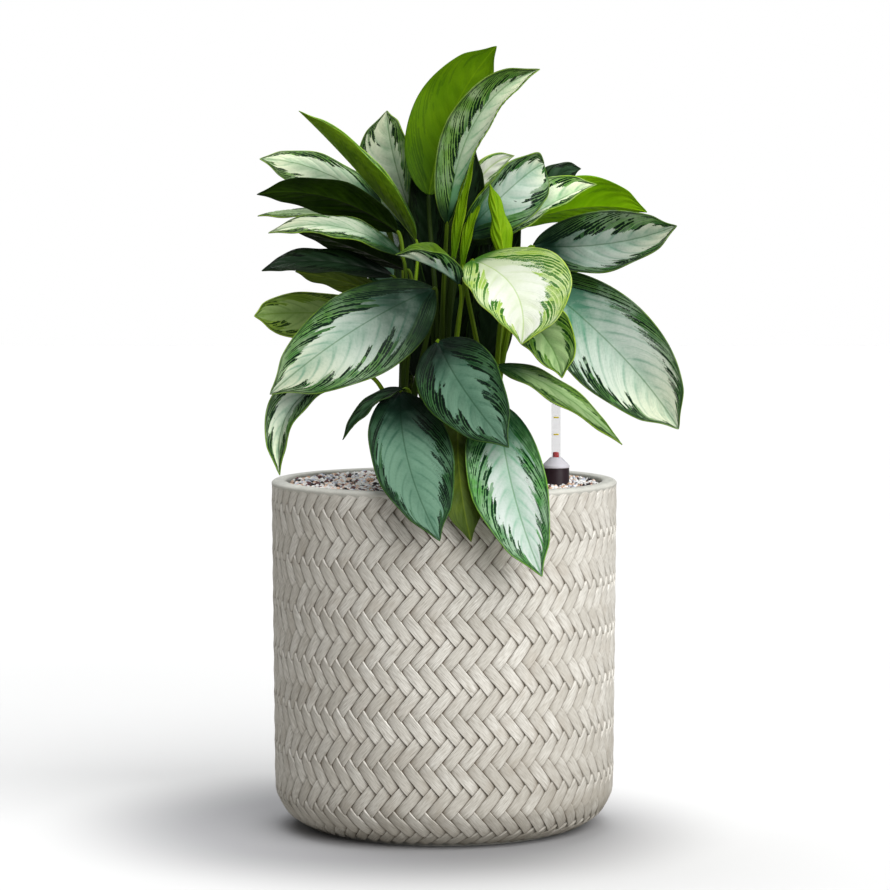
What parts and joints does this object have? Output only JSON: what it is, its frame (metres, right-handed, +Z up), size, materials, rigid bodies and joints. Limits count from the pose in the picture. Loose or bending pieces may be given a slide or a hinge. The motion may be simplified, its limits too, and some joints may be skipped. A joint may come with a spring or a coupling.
{
  "type": "potted chinese evergreen",
  "caption": "Bushy houseplant with broad variegated leaves on short canes, standing in mineral granulate in a round herringbone-textured planter with a water level gauge.",
  "frame": {"origin": "centre of the planter's flat underside", "axes": "+Z up, +X to the right and +Y away from the viewer, as the planter stands in the picture"},
  "size_m": [0.4127, 0.413, 0.7624],
  "materials": {
    "planter": "matte warm grey stone composite",
    "granulate": "loose mineral stones, matte",
    "gauge_dark": "satin dark aubergine",
    "gauge_light": "translucent pale lilac",
    "gauge_clear": "clear",
    "gauge_red": "satin red",
    "stem": "satin living stem",
    "leaf": "satin living leaf, silver and green"
  },
  "bodies": {
    "planter": {"pot": "planter", "granulate": "granulate", "gauge_body": "gauge_dark", "gauge_collar": "gauge_light", "gauge_tube": "gauge_clear", "shoot_left": "stem", "shoot_front": "stem", "shoot_right": "stem", "shoot_back_right": "stem", "shoot_back_left": "stem", "shoot_middle": "stem", "leaf_crown_back": "leaf", "leaf_crown_front": "leaf", "leaf_crown_left": "leaf", "leaf_folded_left": "leaf", "leaf_left_high": "leaf", "leaf_left_green": "leaf", "leaf_left_sliver": "leaf", "leaf_left_silver": "leaf", "leaf_left_shade": "leaf", "leaf_left_dark": "leaf", "leaf_left_lime": "leaf", "leaf_left_olive": "leaf", "leaf_left_broad": "leaf", "leaf_left_low": "leaf", "leaf_left_small": "leaf", "leaf_front_left": "leaf", "leaf_front_middle": "leaf", "leaf_front_olive": "leaf", "leaf_front_right": "leaf", "leaf_front_pale": "leaf", "leaf_right_under": "leaf", "leaf_right_broad": "leaf", "leaf_right_teal": "leaf", "leaf_right_lime": "leaf", "leaf_right_stripe": "leaf", "leaf_right_silver": "leaf", "leaf_right_small": "leaf", "leaf_right_shade": "leaf", "leaf_new_roll": "leaf", "leaf_centre_curl": "leaf", "leaf_pale_back": "leaf", "leaf_right_low": "leaf", "leaf_rear_left": "leaf", "leaf_rear_middle": "leaf", "leaf_rear_inner": "leaf", "leaf_rear_right": "leaf", "leaf_rear_low_left": "leaf", "leaf_rear_low_middle": "leaf", "leaf_rear_low_right": "leaf", "leaf_rear_crown": "leaf"},
    "float": {"gauge_float": "gauge_red"}
  },
  "joints": [
    {"name": "float_rise", "type": "slide", "parent": "planter", "child": "float", "axis": [0, 0, 1], "range_m": [0, 0.045]}
  ]
}
